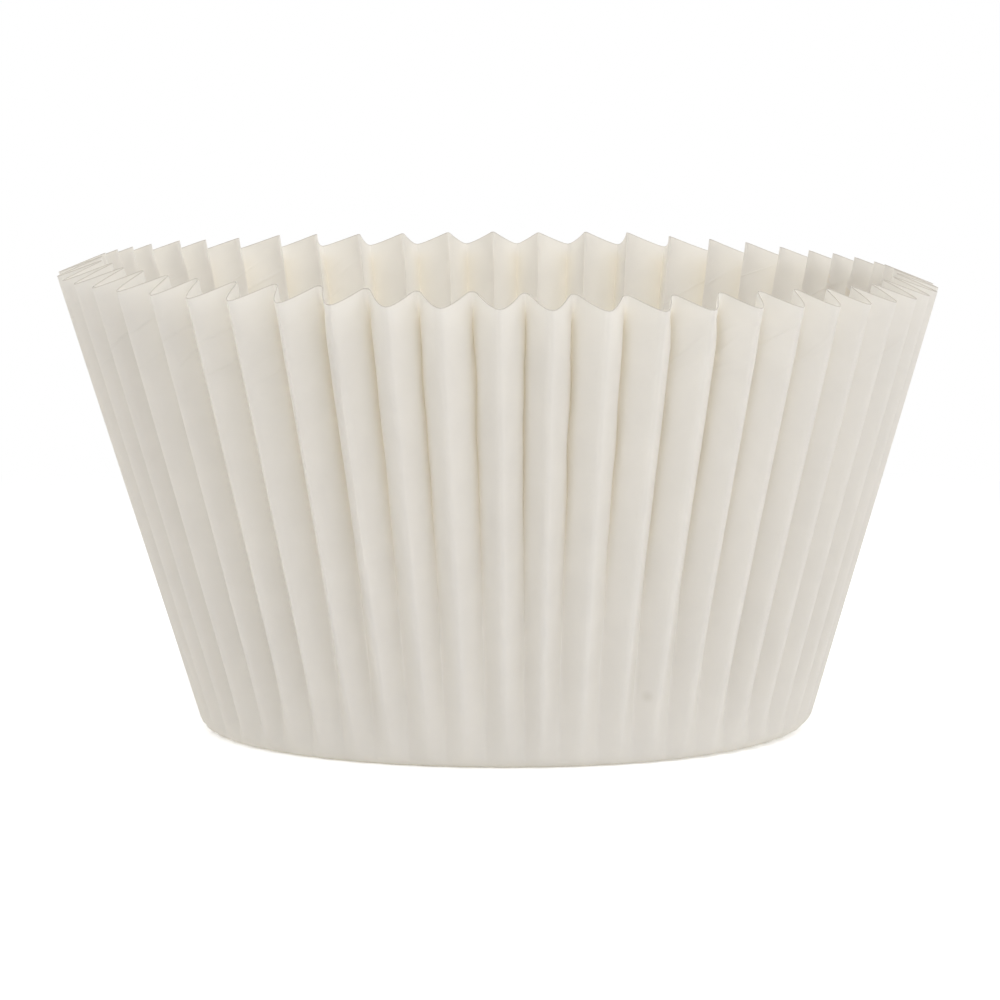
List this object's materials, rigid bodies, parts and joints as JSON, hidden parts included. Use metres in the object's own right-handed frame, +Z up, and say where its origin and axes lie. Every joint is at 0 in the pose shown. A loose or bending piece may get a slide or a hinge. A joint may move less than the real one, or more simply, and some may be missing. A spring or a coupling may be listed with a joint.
{
  "type": "cupcake liner",
  "caption": "Fluted paper liner for a cupcake or muffin: a flat round base and a flared, evenly pleated wall with a zigzag cut rim, open at the top.",
  "frame": {"origin": "centre of the flat base's underside, on the surface the liner stands on", "axes": "+Z up along the cup's axis, towards the open rim; -Y is the side towards the viewer, where an inner fold lies half a pleat from the X axis"},
  "size_m": [0.074, 0.074, 0.0392],
  "materials": {
    "greaseproof_paper": "matt, slightly translucent white greaseproof paper"
  },
  "bodies": {
    "root": {"pleated_paper_liner": "greaseproof_paper"}
  },
  "joints": []
}
